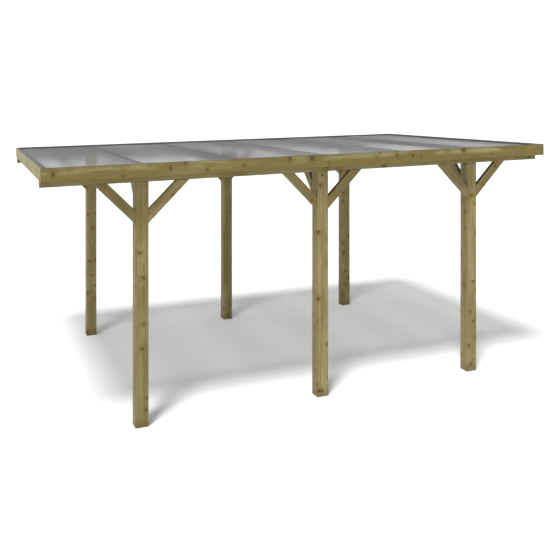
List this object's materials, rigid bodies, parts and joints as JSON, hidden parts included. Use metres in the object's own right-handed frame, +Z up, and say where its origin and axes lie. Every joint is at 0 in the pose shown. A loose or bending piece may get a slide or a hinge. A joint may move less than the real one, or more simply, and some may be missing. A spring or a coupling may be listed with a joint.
{
  "type": "carport",
  "caption": "Open timber carport: square posts with knee braces carry a low boxed roof frame with translucent grey sheets that falls gently along its length.",
  "frame": {"origin": "centre of the grid of post feet, on the ground", "axes": "+X along the length towards the roof's high end, +Y from the front row to the back row, +Z up"},
  "size_m": [5.3722, 3.26, 2.4558],
  "materials": {
    "post_timber": "planed softwood, pressure treated, green-brown with knots",
    "frame_timber": "planed softwood, pressure treated, green-brown with knots",
    "fascia_timber": "planed softwood boards, pressure treated, green-brown with knots",
    "brace_timber": "planed softwood, pressure treated, green-brown with knots",
    "roof_sheet": "smooth translucent smoke-grey sheet",
    "edge_trim": "dark extruded angle, satin"
  },
  "bodies": {
    "root": {"post_front_left": "post_timber", "post_front_middle": "post_timber", "post_front_right": "post_timber", "post_back_left": "post_timber", "post_back_middle": "post_timber", "post_back_right": "post_timber", "purlin_front": "frame_timber", "purlin_back": "frame_timber", "rafter_1": "frame_timber", "rafter_2": "frame_timber", "rafter_3": "frame_timber", "rafter_4": "frame_timber", "rafter_5": "frame_timber", "rafter_6": "frame_timber", "rafter_7": "frame_timber", "fascia_front": "fascia_timber", "fascia_back": "fascia_timber", "fascia_low_end": "fascia_timber", "fascia_high_end": "fascia_timber", "brace_front_left_low": "brace_timber", "brace_front_left_high": "brace_timber", "brace_front_left_cross": "brace_timber", "brace_front_middle_low": "brace_timber", "brace_front_middle_high": "brace_timber", "brace_front_middle_cross": "brace_timber", "brace_front_right_low": "brace_timber", "brace_front_right_high": "brace_timber", "brace_front_right_cross": "brace_timber", "brace_back_left_low": "brace_timber", "brace_back_left_high": "brace_timber", "brace_back_left_cross": "brace_timber", "brace_back_middle_low": "brace_timber", "brace_back_middle_high": "brace_timber", "brace_back_middle_cross": "brace_timber", "brace_back_right_low": "brace_timber", "brace_back_right_high": "brace_timber", "brace_back_right_cross": "brace_timber", "roof_sheet_1": "roof_sheet", "roof_sheet_2": "roof_sheet", "roof_sheet_3": "roof_sheet", "roof_sheet_4": "roof_sheet", "roof_sheet_5": "roof_sheet", "roof_sheet_6": "roof_sheet", "edge_trim": "edge_trim"}
  },
  "joints": []
}
